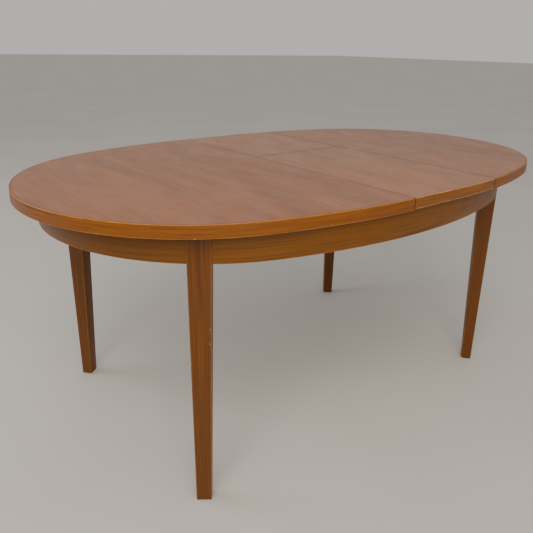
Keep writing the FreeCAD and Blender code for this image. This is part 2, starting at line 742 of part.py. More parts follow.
def build_leaf():
    pieces = {}
    slots = pin_slots(LEAF_X[0], 1, "left") + pin_slots(LEAF_X[1], -1, "right")
    for name, side in SIDES.items():
        barrels = hinge_barrels(side)
        panel, edging = leaf_part(side)
        pieces["leaf_%s_panel" % name] = cut_all(panel, slots + barrels)
        pieces["leaf_%s_lipping" % name] = edging
        pieces["leaf_%s_hinge_barrels" % name] = Part.makeCompound(barrels)
        pieces["leaf_%s_felt" % name] = leaf_felt(side)
    return pieces


def build_table():
    pieces = build_frame()
    for name, end in ENDS.items():
        pieces.update(build_half_top(name, end))
    pieces.update(build_leaf())
    return pieces


os.makedirs("parts", exist_ok=True)
for node, shape in build_table().items():
    solids = shape.Solids
    whole = solids[0] if len(solids) == 1 else Part.makeCompound(solids)
    whole = moved(whole, -ORIGIN_X)
    whole.exportStep("parts/%s.step" % node)
    print("%-28s %2d solid(s) %12.1f mm3 valid=%s" % (node, len(solids), whole.Volume, whole.isValid()))
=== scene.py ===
import bmesh
import bpy
import math
from mathutils import Matrix, Vector


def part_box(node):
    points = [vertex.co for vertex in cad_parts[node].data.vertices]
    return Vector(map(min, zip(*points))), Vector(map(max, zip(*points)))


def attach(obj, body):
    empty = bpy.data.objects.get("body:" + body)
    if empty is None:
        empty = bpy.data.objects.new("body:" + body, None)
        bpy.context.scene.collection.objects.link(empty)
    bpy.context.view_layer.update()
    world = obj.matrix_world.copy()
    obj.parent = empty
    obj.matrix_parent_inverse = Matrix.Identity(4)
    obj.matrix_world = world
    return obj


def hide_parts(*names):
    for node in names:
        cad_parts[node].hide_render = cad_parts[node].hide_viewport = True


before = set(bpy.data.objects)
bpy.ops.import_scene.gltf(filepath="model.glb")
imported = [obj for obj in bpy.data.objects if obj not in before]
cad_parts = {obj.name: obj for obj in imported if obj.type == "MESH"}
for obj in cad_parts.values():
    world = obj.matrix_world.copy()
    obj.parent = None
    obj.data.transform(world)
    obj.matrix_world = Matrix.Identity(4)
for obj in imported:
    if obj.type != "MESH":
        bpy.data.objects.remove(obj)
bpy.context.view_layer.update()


# --- Edging of the half-tops --------------------------------------------------------------
# Solid strips bent round the oval and glued to the veneered panels, then rounded over with a
# small router bit. The lacquer has rubbed thin on the arris, and the warm bright line painted
# there is partly that wear and partly a painted highlight.
def linear(code):
    """A sRGB hex colour as linear values for a shader."""
    parts = [int(code[k:k + 2], 16) / 255 for k in (1, 3, 5)]
    scaled = [v / 12.92 if v <= 0.04045 else ((v + 0.055) / 1.055) ** 2.4 for v in parts]
    return (scaled[0], scaled[1], scaled[2], 1.0)


def add(mat, kind, inputs=None, **settings):
    """Adds a shader node; inputs are values, or sockets to link from."""
    node = mat.node_tree.nodes.new("ShaderNode" + kind)
    for key, value in settings.items():
        setattr(node, key, value)
    for key, value in (inputs or {}).items():
        if isinstance(value, bpy.types.NodeSocket):
            mat.node_tree.links.new(value, node.inputs[key])
        else:
            node.inputs[key].default_value = value
    return node


def blank(name):
    """An empty material with its surface node."""
    mat = bpy.data.materials.new(name)
    mat.use_nodes = True
    mat.node_tree.nodes.clear()
    surface = add(mat, "BsdfPrincipled")
    add(mat, "OutputMaterial", {"Surface": surface.outputs[0]})
    return mat, surface


def link(mat, socket, node, key):
    mat.node_tree.links.new(socket, node.inputs[key])


def millimetres(mat, source, turn=0.0, scale=(1.0, 1.0, 1.0)):
    """Coordinates in millimetres, turned about Z and divided by a pattern size on each axis."""
    if source == "Object":
        socket = add(mat, "TexCoord").outputs["Object"]
    else:
        socket = add(mat, "UVMap", uv_map=source).outputs[0]
    turned = add(mat, "Mapping", {"Vector": socket, "Rotation": (0.0, 0.0, turn)})
    size = tuple(1000.0 / s for s in scale)
    return add(mat, "Mapping", {"Vector": turned.outputs[0], "Scale": size}).outputs[0]


def noise(mat, vector, detail=4.0, roughness=0.55, distortion=0.0):
    inputs = {"Vector": vector, "Scale": 1.0, "Detail": detail, "Roughness": roughness,
              "Distortion": distortion}
    return add(mat, "TexNoise", inputs).outputs[0]


def span(mat, value, low, high, to_low=0.0, to_high=1.0):
    """Maps a value from one range to another, clamped."""
    inputs = {"Value": value, "From Min": low, "From Max": high, "To Min": to_low, "To Max": to_high}
    return add(mat, "MapRange", inputs).outputs[0]


def times(mat, one, other):
    return add(mat, "Math", {0: one, 1: other}, operation="MULTIPLY").outputs[0]


def blend(mat, amount, one, other):
    """Mixes two colours."""
    mix = add(mat, "Mix", {"Factor": amount}, data_type="RGBA")
    for key, value in ((6, one), (7, other)):
        if isinstance(value, bpy.types.NodeSocket):
            mat.node_tree.links.new(value, mix.inputs[key])
        else:
            mix.inputs[key].default_value = value
    return mix.outputs[2]


def joint_shade_and_dirt(mat, ground, joints):
    """Paints shade and dirt as a darkening beside open joints, each (axis, place, reach) in metres, not on
    the mating faces.
    """
    for axis, at, reach in joints:
        place = add(mat, "SeparateXYZ", {0: add(mat, "TexCoord").outputs["Object"]})
        gap = add(mat, "Math", {0: place.outputs[axis], 1: at}, operation="SUBTRACT").outputs[0]
        gap = add(mat, "Math", {0: gap}, operation="ABSOLUTE").outputs[0]
        facing = add(mat, "SeparateXYZ", {0: add(mat, "TexCoord").outputs["Normal"]})
        facing = add(mat, "Math", {0: facing.outputs[axis]}, operation="ABSOLUTE").outputs[0]
        shade_and_dirt = times(mat, span(mat, gap, reach, reach * 0.4, 0.0, 0.9), span(mat, facing, 0.95, 0.7))
        # The near-black brown is painted shade in the open gap, with some dirt.
        ground = blend(mat, shade_and_dirt, ground, linear("#2a140b"))
    return ground


def timber(name, tones, source="Object", turn=0.0, grain=(3.0, 260.0), pore=0.35, gloss=0.34,
           coat=0.12, wear_and_highlight=None, wear_and_highlight_width=1.6, wear_and_highlight_most=1.0, joints=()):
    """Wood with streaks, slow figure and open pores. tones is dark, middle and light."""
    mat, surface = blank(name)
    across, along = grain
    fine = noise(mat, millimetres(mat, source, turn, (across, along, across)), 6.0, 0.62)
    slow = noise(mat, millimetres(mat, source, turn, (across * 14, along * 1.7, across * 14)), 3.0, 0.5, 0.6)
    dark, middle, light = [linear(tone) for tone in tones]
    ground = blend(mat, span(mat, fine, 0.36, 0.64), dark, light)
    ground = blend(mat, span(mat, slow, 0.3, 0.7, 0.25, 0.8), ground, middle)
    pits = noise(mat, millimetres(mat, source, turn, (0.55, 11.0, 0.55)), 2.0, 0.5)
    holes = span(mat, pits, 0.6, 0.72)
    ground = blend(mat, times(mat, holes, pore), ground, tuple(0.25 * v for v in dark[:3]) + (1.0,))
    smear = noise(mat, millimetres(mat, source, turn, (70.0, 90.0, 70.0)), 4.0, 0.6)
    rough = span(mat, smear, 0.3, 0.7, gloss - 0.04, gloss + 0.07)
    if wear_and_highlight:
        edge = add(mat, "SeparateXYZ", {0: millimetres(mat, "Edge")})
        broken = noise(mat, millimetres(mat, source, turn, (2.2, 30.0, 2.2)), 5.0, 0.6)
        near = span(mat, edge.outputs[0], wear_and_highlight_width, 0.2)
        wear_and_highlight_mask = times(mat, near, span(mat, broken, 0.34, 0.6, 0.3 * wear_and_highlight_most, wear_and_highlight_most))
        chipped = span(mat, noise(mat, millimetres(mat, source, turn, (5.0, 9.0, 5.0)), 3.0), 0.66, 0.7)
        bare = times(mat, chipped, span(mat, edge.outputs[0], wear_and_highlight_width * 2.2, wear_and_highlight_width))
        # The pale line on the arrises is rubbed-off stain, and on the edgings of the top it is partly a
        # painted highlight too.
        ground = blend(mat, wear_and_highlight_mask, ground, linear(wear_and_highlight[0]))
        ground = blend(mat, bare, ground, linear(wear_and_highlight[1]))
        rough = add(mat, "Math", {0: rough, 1: times(mat, wear_and_highlight_mask, 0.12)}, operation="ADD").outputs[0]
    # Painted shade, with some dirt, beside the open joints of the top.
    ground = joint_shade_and_dirt(mat, ground, joints)
    relief = span(mat, holes, 0.0, 1.0, 1.0, 0.0)
    dent = add(mat, "Bump", {"Height": relief, "Strength": 0.35, "Distance": 0.00012})
    link(mat, ground, surface, "Base Color")
    link(mat, rough, surface, "Roughness")
    link(mat, dent.outputs[0], surface, "Normal")
    surface.inputs["Coat Weight"].default_value = coat
    surface.inputs["Coat Roughness"].default_value = 0.28
    surface.inputs["IOR"].default_value = 1.38
    return mat


def outline(box, fullness=0.92):
    """The four-centred half oval of a half-top: end centre, end radius, side radius and drop."""
    low, high = box
    half_width = (high[1] - low[1]) / 2
    half_length = high[0] - low[0]
    end_radius = fullness * half_width
    reach = half_length - end_radius
    side_radius = (half_length ** 2 + half_width ** 2 - 2 * half_length * end_radius)
    side_radius /= 2 * (half_width - end_radius)
    return {"end": end_radius, "reach": reach, "side": side_radius, "drop": side_radius - half_width}


def oval_station(shape, turn):
    """Centre and radius of the arc that holds an outward direction, measured from +Y to +X."""
    join = math.atan2(shape["reach"], shape["drop"])
    flat = abs(math.asin(math.sin(turn)))
    if flat > join:
        return Vector((math.copysign(shape["reach"], math.sin(turn)), 0.0)), shape["end"]
    return Vector((0.0, -math.copysign(shape["drop"], math.cos(turn)))), shape["side"]


def oval_point(shape, turn, inset):
    """A point of the oval, drawn in by an inset, where its outward direction has a given turn."""
    centre, radius = oval_station(shape, turn)
    way = Vector((math.sin(turn), math.cos(turn)))
    return centre + (radius - inset) * way


def rounded_strip(depth, low, high, arris, steps=5):
    """A strip's section as (inset, height, distance to the nearest arris), from the inner foot up."""
    quarter = math.pi / 2
    ring = [(depth, low)]
    for k in range(steps + 1):
        swing = quarter * k / steps
        ring.append((arris - arris * math.sin(swing), low + arris - arris * math.cos(swing)))
    ring.append((0.0, (low + high) / 2))
    for k in range(steps + 1):
        swing = quarter * k / steps
        ring.append((arris - arris * math.cos(swing), high - arris + arris * math.sin(swing)))
    ring.append((depth, high))
    marks = [(0.0, low), (0.0, high)]
    found = []
    for inset, height in ring:
        gap = min(math.hypot(inset - mark[0], height - mark[1]) for mark in marks)
        found.append((inset, height, max(0.0, gap - arris * 0.42)))
    return found


def mesh_object(name, mesh, mat, node, body):
    """Puts a finished mesh in the scene in place of a CAD node."""
    piece = bpy.data.objects.new(name, mesh)
    bpy.context.collection.objects.link(piece)
    mesh.materials.append(mat)
    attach(piece, body)
    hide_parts(node)
    return piece


def sweep(name, rows, lengths, section):
    """A closed bar from rows of points along it, with its length and section laid out as UV."""
    bm = bmesh.new()
    grid = [[bm.verts.new(at) for at in row] for row in rows]
    main = bm.loops.layers.uv.new("Grain")
    edge = bm.loops.layers.uv.new("Edge")
    count = len(section)
    around = [0.0]
    for k in range(count):
        one, two = section[k], section[(k + 1) % count]
        around.append(around[-1] + math.hypot(one[0] - two[0], one[1] - two[1]))
    for i in range(len(rows) - 1):
        for j in range(count):
            n = (j + 1) % count
            face = bm.faces.new((grid[i][j], grid[i][n], grid[i + 1][n], grid[i + 1][j]))
            face.smooth = True
            marks = ((i, j, j), (i, n, j + 1), (i + 1, n, j + 1), (i + 1, j, j))
            for loop, (row, place, step) in zip(face.loops, marks):
                loop[main].uv = (around[step], lengths[row])
                loop[edge].uv = (section[place][2], section[place][1])
    for row, step in ((0, 1), (len(rows) - 1, -1)):
        cap = bm.faces.new(grid[row][::step])
        for loop in cap.loops:
            place = grid[row].index(loop.vert)
            loop[main].uv = (section[place][0], section[place][1])
            loop[edge].uv = (0.02, section[place][1])
    bmesh.ops.recalc_face_normals(bm, faces=bm.faces)
    mesh = bpy.data.meshes.new(name)
    bm.to_mesh(mesh)
    bm.free()
    mesh.set_sharp_from_angle(angle=math.radians(38))
    return mesh


left_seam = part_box("half_top_left_panel")[1][0]
right_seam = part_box("half_top_right_panel")[0][0]
seams = [(0, left_seam, 0.0028), (0, right_seam, 0.0036)]
# Its pale arris tone is partly wear and partly a painted highlight.
edging = timber("stained_solid_edging", ("#4a2602", "#7a4204", "#9a5c10"), "Grain", 0.0, (2.2, 180.0),
                0.3, 0.4, 0.06, ("#bb7a34", "#cfa468"), 1.8, 0.85, seams)
sides = {"front": -1, "back": 1}
ends = {"left": -1, "right": 1}
oval = outline(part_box("half_top_left_lipping"))
arris = 0.0016
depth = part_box("half_top_left_panel")[0][0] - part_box("half_top_left_lipping")[0][0]
edging_steps = 220
for end_name, end in ends.items():
    node = "half_top_%s_lipping" % end_name
    low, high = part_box(node)
    seam = high[0] if end < 0 else low[0]
    far = low[0] if end < 0 else high[0]
    middle = far - end * (oval["reach"] + oval["end"])
    section = rounded_strip(depth, low[2], high[2], arris)
    rows = []
    lengths = [0.0]
    for k in range(edging_steps + 1):
        row = []
        for inset, height, gap in section:
            lean = math.asin(abs(seam - middle) / (oval["side"] - inset))
            turn = end * (lean + (math.pi - 2 * lean) * k / edging_steps)
            at = oval_point(oval, turn, inset)
            row.append(Vector((middle + at.x, at.y, height)))
        if rows:
            lengths.append(lengths[-1] + (row[0] - rows[-1][0]).length)
        rows.append(row)
    mesh = sweep("half_top_%s_edging" % end_name, rows, lengths, section)
    mesh_object("half_top_%s_edging" % end_name, mesh, edging, node, "half_top_" + end_name)


# --- Veneered panels of the top -----------------------------------------------------------
# Flat panels faced with a figured red-brown veneer laid with its grain across the table, in
# leaves that differ a little in tone, under a satin lacquer dulled by years of wiping.
def veneer(name, tones, leaf_mm, gloss, joints):
    """Veneer with its grain along Y, in leaves of a given width, with painted shade and dirt darkening its
    open joints.
    """
    mat, surface = blank(name)
    dark, middle, light, deep = [linear(tone) for tone in tones]
    cells = millimetres(mat, "Object", 0.0, (leaf_mm, 4000.0, 4000.0))
    row = add(mat, "SeparateXYZ", {0: cells}).outputs[0]
    row = add(mat, "Math", {0: row}, operation="FLOOR").outputs[0]
    shade = add(mat, "TexWhiteNoise", {"W": row}, noise_dimensions="1D").outputs[0]
    drift = noise(mat, millimetres(mat, "Object", 0.0, (60.0, 420.0, 60.0)), 3.0, 0.5, 0.4)
    fine = noise(mat, millimetres(mat, "Object", 0.0, (1.5, 190.0, 4.0)), 6.0, 0.62, 0.1)
    broad = noise(mat, millimetres(mat, "Object", 0.0, (9.0, 520.0, 9.0)), 4.0, 0.55, 0.5)
    ground = blend(mat, span(mat, fine, 0.33, 0.67), dark, light)
    ground = blend(mat, span(mat, broad, 0.32, 0.68, 0.15, 0.7), ground, middle)
    ground = blend(mat, span(mat, drift, 0.35, 0.7, 0.0, 0.3), ground, deep)
    ground = blend(mat, span(mat, shade, 0.0, 1.0, 0.0, 0.14), ground, light)
    pits = noise(mat, millimetres(mat, "Object", 0.0, (0.5, 9.0, 1.0)), 2.0, 0.5)
    holes = span(mat, pits, 0.6, 0.74)
    ground = blend(mat, times(mat, holes, 0.3), ground, deep)
    # Painted shade, with some dirt, beside the seams and the fold.
    ground = joint_shade_and_dirt(mat, ground, joints)
    smear = noise(mat, millimetres(mat, "Object", 0.5, (60.0, 110.0, 60.0)), 5.0, 0.62)
    rough = span(mat, smear, 0.3, 0.7, gloss - 0.035, gloss + 0.06)
    relief = span(mat, holes, 0.0, 1.0, 1.0, 0.0)
    dent = add(mat, "Bump", {"Height": relief, "Strength": 0.25, "Distance": 0.00008})
    link(mat, ground, surface, "Base Color")
    link(mat, rough, surface, "Roughness")
    link(mat, dent.outputs[0], surface, "Normal")
    surface.inputs["Coat Weight"].default_value = 0.08
    surface.inputs["Coat Roughness"].default_value = 0.35
    surface.inputs["IOR"].default_value = 1.42
    return mat


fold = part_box("leaf_back_panel")[0][1]
half_top_veneer = veneer("lacquered_red_brown_veneer", ("#5c2f18", "#8b5738", "#b07853", "#472013"),
                         146.0, 0.4, seams)
leaf_veneer = veneer("lacquered_leaf_veneer", ("#623518", "#915c39", "#b57d56", "#4e2716"),
                     131.0, 0.38, seams + [(1, fold, 0.0052)])


def dress(node, mat):
    """Gives a CAD node's own mesh its finish."""
    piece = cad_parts[node]
    piece.data.materials.clear()
    piece.data.materials.append(mat)
    for face in piece.data.polygons:
        face.material_index = 0
    return piece


for end_name in ends:
    dress("half_top_%s_panel" % end_name, half_top_veneer)
for side_name in sides:
    dress("leaf_%s_panel" % side_name, leaf_veneer)


# --- Edging of the leaf -------------------------------------------------------------------
# Straight solid strips on the ends of the leaf. The leaf is handled more than the rest, so its
# upper arris has lost more of its stain and shows pale; the pale line is partly that wear and
# partly a painted highlight.
# Its pale arris tones are partly wear and partly a painted highlight.
leaf_edging = timber("stained_leaf_edging", ("#4c2804", "#7a4608", "#985e14"), "Grain", 0.0, (2.2, 160.0),
                     0.3, 0.38, 0.06, ("#c99a66", "#dfc3a0"), 2.2, 0.9, seams)
strip_steps = 60
straight_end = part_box("half_top_right_lipping")[1][0] - oval["reach"] - oval["end"]
for side_name, side in sides.items():
    node = "leaf_%s_lipping" % side_name
    low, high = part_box(node)
    section = rounded_strip(depth, low[2], high[2], arris)
    rows = []
    lengths = []
    for k in range(strip_steps + 1):
        x = low[0] + (high[0] - low[0]) * k / strip_steps
        past = max(0.0, x - straight_end)
        lengths.append(x - low[0])
        row = []
        for inset, height, gap in section:
            reach = math.sqrt((oval["side"] - inset) ** 2 - past ** 2) - oval["drop"]
            row.append(Vector((x, side * reach, height)))
        rows.append(row)
    mesh = sweep("leaf_%s_edging" % side_name, rows, lengths, section)
    mesh_object("leaf_%s_edging" % side_name, mesh, leaf_edging, node, "leaf_" + side_name)


# --- Legs ---------------------------------------------------------------------------------
# Sawn square, tapered on all four sides below the apron and planed, with the arrises eased by
# hand. Knocks have taken the stain off the arrises here and there, mostly near the feet.
leg_wood = timber("stained_tapered_leg", ("#422200", "#603404", "#76450c"), "Grain", 0.0, (2.6, 260.0),
                  0.35, 0.4, 0.06, ("#a0713c", "#d0a876"), 1.5, 0.6)
leg_turn = math.radians(37.5)
foot_size = Vector((0.038, 0.032))
head_size = Vector((0.055, 0.055))
eased = 0.003
foot_bevel = 0.002
taper_steps = 26
low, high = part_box("apron_front")
apron_foot, apron_head = low[2], high[2]


def leg_ring(size, ease, steps=5):
    """A rounded rectangle as (x, y, distance to the nearest arris), with a point amid each flat."""
    found = []
    for quadrant in range(4):
        way = Vector(((1, -1, -1, 1)[quadrant], (1, 1, -1, -1)[quadrant]))
        centre = Vector((way.x * (size.x / 2 - ease), way.y * (size.y / 2 - ease)))
        for k in range(steps + 1):
            swing = math.pi / 2 * (quadrant + k / steps)
            gap = abs(k / steps - 0.5) * ease
            found.append((centre.x + ease * math.cos(swing), centre.y + ease * math.sin(swing), gap))
        flat = ((0.0, size.y / 2), (-size.x / 2, 0.0), (0.0, -size.y / 2), (size.x / 2, 0.0))[quadrant]
        found.append((flat[0], flat[1], (size.x, size.y)[quadrant % 2] / 2))
    return found


leg_middles = {}
for side_name, side in sides.items():
    for end_name, end in ends.items():
        node = "leg_%s_%s" % (side_name, end_name)
        low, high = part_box(node)
        middle = Vector(((low[0] + high[0]) / 2, (low[1] + high[1]) / 2))
        leg_middles[node] = middle
        turn = math.atan2(-end * math.sin(leg_turn), side * math.cos(leg_turn))
        taper = apron_foot - foot_bevel
        levels = [0.0] + [foot_bevel + taper * k / taper_steps for k in range(taper_steps + 1)] + [apron_head]
        rows = []
        for height in levels:
            size = foot_size.lerp(head_size, min(1.0, height / apron_foot))
            if height == 0.0:
                size = size - 2 * Vector((foot_bevel, foot_bevel))
            ring = leg_ring(size, eased)
            spun = [Matrix.Rotation(turn, 2) @ Vector(at[:2]) + middle for at in ring]
            rows.append([Vector((at.x, at.y, height)) for at in spun])
        mesh = sweep("tapered_" + node, rows, levels, leg_ring(head_size, eased))
        mesh_object(mesh.name, mesh, leg_wood, node, "frame")


# --- Curved aprons ------------------------------------------------------------------------
# Rails bent and faced to the line of the oval, tenoned into the legs. Knees and chair arms have
# rubbed the lower edge bright, with a few pale chips.
apron_wood = timber("stained_curved_apron", ("#482700", "#6c3e00", "#845200"), "Grain", 0.0, (2.6, 240.0),
                    0.3, 0.4, 0.06, ("#a5682a", "#cfa066"), 2.0, 0.7)
frame_x = sum(at.x for at in leg_middles.values()) / 4
overhang = 0.010
rail = 0.022
head_reach = oval["end"] - overhang


def apron_rows(start, stop, from_way, to_way, section, steps=120):
    """Sections along a rail between two legs; the ways say which side of each leg it meets."""
    rows = []
    lengths = [0.0]
    for k in range(steps + 1):
        row = []
        for inset, height, gap in section:
            lean = math.asin(head_size.x / 2 / (head_reach - inset))
            first = start + from_way * lean
            last = stop + to_way * lean
            at = oval_point(oval, first + (last - first) * k / steps, overhang + inset)
            row.append(Vector((frame_x + at.x, at.y, height)))
        if rows:
            lengths.append(lengths[-1] + (row[1] - rows[-1][1]).length)
        rows.append(row)
    return rows, lengths


apron_section = rounded_strip(rail, apron_foot, apron_head, 0.001, 3)
apron_turns = {
    "back": (-leg_turn, leg_turn),
    "right": (leg_turn, math.pi - leg_turn),
    "front": (math.pi - leg_turn, math.pi + leg_turn),
    "left": (math.pi + leg_turn, 2 * math.pi - leg_turn),
}
for name, (start, stop) in apron_turns.items():
    rows, lengths = apron_rows(start, stop, 1, -1, apron_section)
    mesh = sweep("curved_apron_" + name, rows, lengths, apron_section)
    mesh_object(mesh.name, mesh, apron_wood, "apron_" + name, "frame")


# --- Rails, ledges, runners and blocks under the top --------------------------------------
# Unstained working timber, planed and left bare: pale softwood for the rails and blocks, closer
# beech for the runners and guide rails, darkened a little with wax where they slide.
def soften(piece, width):
    """Eases the sharp arrises of a CAD node's own mesh."""
    bevel = piece.modifiers.new("eased_arrises", "BEVEL")
    bevel.width = width
    bevel.segments = 2
    bevel.limit_method = "ANGLE"
    bevel.angle_limit = math.radians(40)
    bevel.use_clamp_overlap = True


softwood = ("#a27c4e", "#bd9763", "#cfae7c")
beech = ("#a97f52", "#c0986a", "#cfab80")
cross_wood = timber("planed_softwood_across", softwood, "Object", 0.0, (4.5, 420.0), 0.12, 0.6, 0.0)
ledge_wood = timber("planed_softwood_along", softwood, "Object", math.pi / 2, (4.5, 420.0), 0.12, 0.6, 0.0)
runner_wood = timber("waxed_beech_along", beech, "Object", math.pi / 2, (1.6, 120.0), 0.2, 0.42, 0.05)
for end_name in ends:
    soften(dress("cross_rail_" + end_name, cross_wood), 0.0008)
    for side_name in sides:
        soften(dress("runner_%s_%s" % (end_name, side_name), runner_wood), 0.0006)
for side_name in sides:
    soften(dress("leaf_ledge_" + side_name, ledge_wood), 0.0008)
    soften(dress("guide_rail_" + side_name, runner_wood), 0.0005)
soften(dress("runner_stops", runner_wood), 0.0008)
for side_name, side in sides.items():
    for end_name, end in ends.items():
        turn = side * end * leg_turn
        grain = timber("sawn_block_%s_%s" % (side_name, end_name), softwood, "Object", turn, (4.0, 200.0),
                       0.15, 0.66, 0.0)
        soften(dress("corner_block_%s_%s" % (side_name, end_name), grain), 0.001)


# --- Dowels and locating pins -------------------------------------------------------------
# Turned beech rod with a close straight grain along its length.
rod_wood = timber("turned_beech_rod", beech, "Object", math.pi / 2, (1.1, 60.0), 0.2, 0.5, 0.0)
for node in ("rail_dowels", "locating_pins_left", "locating_pins_right"):
    soften(dress(node, rod_wood), 0.0006)


# --- Felt under the leaf ------------------------------------------------------------------
# Pressed green felt, a matt mat of short fibres that drinks the light.
felt, surface = blank("pressed_green_felt")
fibres = noise(felt, millimetres(felt, "Object", 0.0, (0.35, 0.35, 0.35)), 4.0, 0.7)
patches = noise(felt, millimetres(felt, "Object", 0.0, (9.0, 9.0, 9.0)), 3.0)
cloth = blend(felt, span(felt, fibres, 0.3, 0.7), linear("#1d2f22"), linear("#3d5742"))
cloth = blend(felt, span(felt, patches, 0.4, 0.7, 0.0, 0.3), cloth, linear("#2a3f2c"))
nap = add(felt, "Bump", {"Height": fibres, "Strength": 0.8, "Distance": 0.0003})
link(felt, cloth, surface, "Base Color")
link(felt, nap.outputs[0], surface, "Normal")
surface.inputs["Roughness"].default_value = 0.95
surface.inputs["Sheen Weight"].default_value = 0.35
surface.inputs["Sheen Roughness"].default_value = 0.5
for side_name in sides:
    dress("leaf_%s_felt" % side_name, felt)


# --- Bolts, washers, nuts and screws ------------------------------------------------------
# Zinc-plated steel, bright but clouded, with a grey bloom in the hollows.
def metal(name, clean, dull, rough):
    """Plated or plain metal with a cloudy tarnish and fine turning scratches."""
    mat, surface = blank(name)
    cloud = noise(mat, millimetres(mat, "Object", 0.0, (6.0, 6.0, 6.0)), 5.0, 0.65)
    scratch = noise(mat, millimetres(mat, "Object", 0.4, (0.25, 5.0, 0.25)), 3.0)
    skin = blend(mat, span(mat, cloud, 0.35, 0.7), linear(clean), linear(dull))
    gloss = add(mat, "Math", {0: span(mat, cloud, 0.3, 0.7, rough - 0.06, rough + 0.14),
                              1: span(mat, scratch, 0.3, 0.7, 0.0, 0.06)}, operation="ADD").outputs[0]
    marks = add(mat, "Bump", {"Height": scratch, "Strength": 0.2, "Distance": 0.00004})
    link(mat, skin, surface, "Base Color")
    link(mat, gloss, surface, "Roughness")
    link(mat, marks.outputs[0], surface, "Normal")
    surface.inputs["Metallic"].default_value = 1.0
    return mat


zinc = metal("zinc_plated_steel", "#b9bbb8", "#8d8f8a", 0.34)
# Brass is the one warm metal, brushed to a low yellow sheen, on the catches and hinge barrels.
brass = metal("satin_brass", "#b58d4a", "#8c6a34", 0.3)
soften(dress("leg_nuts", zinc), 0.0006)
soften(dress("leg_washers", zinc), 0.0003)
for node in ("catch_plates", "catch_keepers", "catch_hook_front", "catch_hook_back"):
    soften(dress(node, brass), 0.0003)
for side_name in sides:
    dress("leaf_%s_hinge_barrels" % side_name, brass)


def islands(node):
    """Lowest and highest corners of each separate solid in a CAD node."""
    bm = bmesh.new()
    bm.from_mesh(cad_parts[node].data)
    bmesh.ops.remove_doubles(bm, verts=bm.verts, dist=1e-7)
    left = set(bm.verts)
    found = []
    while left:
        stack = [left.pop()]
        group = list(stack)
        while stack:
            for edge in stack.pop().link_edges:
                for vert in edge.verts:
                    if vert in left:
                        left.remove(vert)
                        stack.append(vert)
                        group.append(vert)
        cos = [vert.co for vert in group]
        found.append((Vector([min(c[k] for c in cos) for k in range(3)]),
                      Vector([max(c[k] for c in cos) for k in range(3)])))
    bm.free()
    return found


def threaded_rods(name, node):
    """Hanger bolts as rods with a rolled thread, where the CAD node has its plain ones."""
    bm = bmesh.new()
    pitch = 0.00125
    plain = 0.0006
    around = 20
    for low, high in islands(node):
        middle = (low + high) / 2
        radius = (high.z - low.z) / 2
        end = 1 if middle.x > frame_x else -1
        side = 1 if middle.y > 0 else -1
        way = Vector((end * math.sin(leg_turn), side * math.cos(leg_turn), 0.0))
        length = (high.x - low.x - 2 * radius * abs(way.y)) / abs(way.x)
        over = way.cross(Vector((0, 0, 1)))
        turns = int(length / pitch)
        places = [(0.0, radius * 0.8)]
        for k in range(turns):
            start = plain + k * (length - 2 * plain) / turns
            places.append((start, radius * 0.86))
            places.append((start + pitch * 0.45, radius))
            places.append((start + pitch * 0.55, radius))
        places.append((length, radius * 0.8))
        rings = []
        for along, wide in places:
            centre = middle + way * (along - length / 2)
            rings.append([bm.verts.new(centre + wide * (math.cos(a) * over + Vector((0, 0, math.sin(a)))))
                          for a in [2 * math.pi * k / around for k in range(around)]])
        for one, two in zip(rings, rings[1:]):
            for k in range(around):
                n = (k + 1) % around
                bm.faces.new((one[k], one[n], two[n], two[k]))
        bm.faces.new(rings[0][::-1])
        bm.faces.new(rings[-1])
    bmesh.ops.recalc_face_normals(bm, faces=bm.faces)
    mesh = bpy.data.meshes.new(name)
    bm.to_mesh(mesh)
    bm.free()
    return mesh


mesh_object("hanger_bolts", threaded_rods("hanger_bolts", "leg_bolts"), zinc, "leg_bolts", "frame")


def screw_pattern():
    """A countersunk screw with a cross recess, its head's face at the origin, shank up +Z."""
    bm = bmesh.new()
    rings = []
    around = 24
    head, shank, sunk, end = 0.00395, 0.00195, 0.0024, 0.02
    profile = ((0.0, head - 0.0002), (0.00015, head), (sunk, shank), (end, shank), (end + 0.0015, 0.0006))
    for height, wide in profile:
        rings.append([bm.verts.new((wide * math.cos(a), wide * math.sin(a), height))
                      for a in [2 * math.pi * k / around for k in range(around)]])
    for one, two in zip(rings, rings[1:]):
        for k in range(around):
            n = (k + 1) % around
            bm.faces.new((one[k], one[n], two[n], two[k]))
    bm.faces.new(rings[-1])
    arm, half = 0.0024, 0.00055
    star = ((arm, -half), (arm, half), (half, half), (half, arm), (-half, arm), (-half, half),
            (-arm, half), (-arm, -half), (-half, -half), (-half, -arm), (half, -arm), (half, -half))
    mouth = [bm.verts.new((x, y, 0.0)) for x, y in star]
    recess = [bm.verts.new((x * 0.8, y * 0.8, 0.0013)) for x, y in star]
    for k in range(len(star)):
        n = (k + 1) % len(star)
        bm.faces.new((mouth[k], mouth[n], recess[n], recess[k]))
    bm.faces.new(recess)
    rim = []
    for loop in (rings[0], mouth):
        for k in range(len(loop)):
            pair = (loop[k], loop[(k + 1) % len(loop)])
            rim.append(bm.edges.get(pair) or bm.edges.new(pair))
    bmesh.ops.triangle_fill(bm, edges=rim, use_beauty=True)
    bmesh.ops.recalc_face_normals(bm, faces=bm.faces)
    mesh = bpy.data.meshes.new("screw_pattern")
    bm.to_mesh(mesh)
    bm.free()
    mesh.set_sharp_from_angle(angle=math.radians(35))
    return bpy.data.objects.new("screw_pattern", mesh)


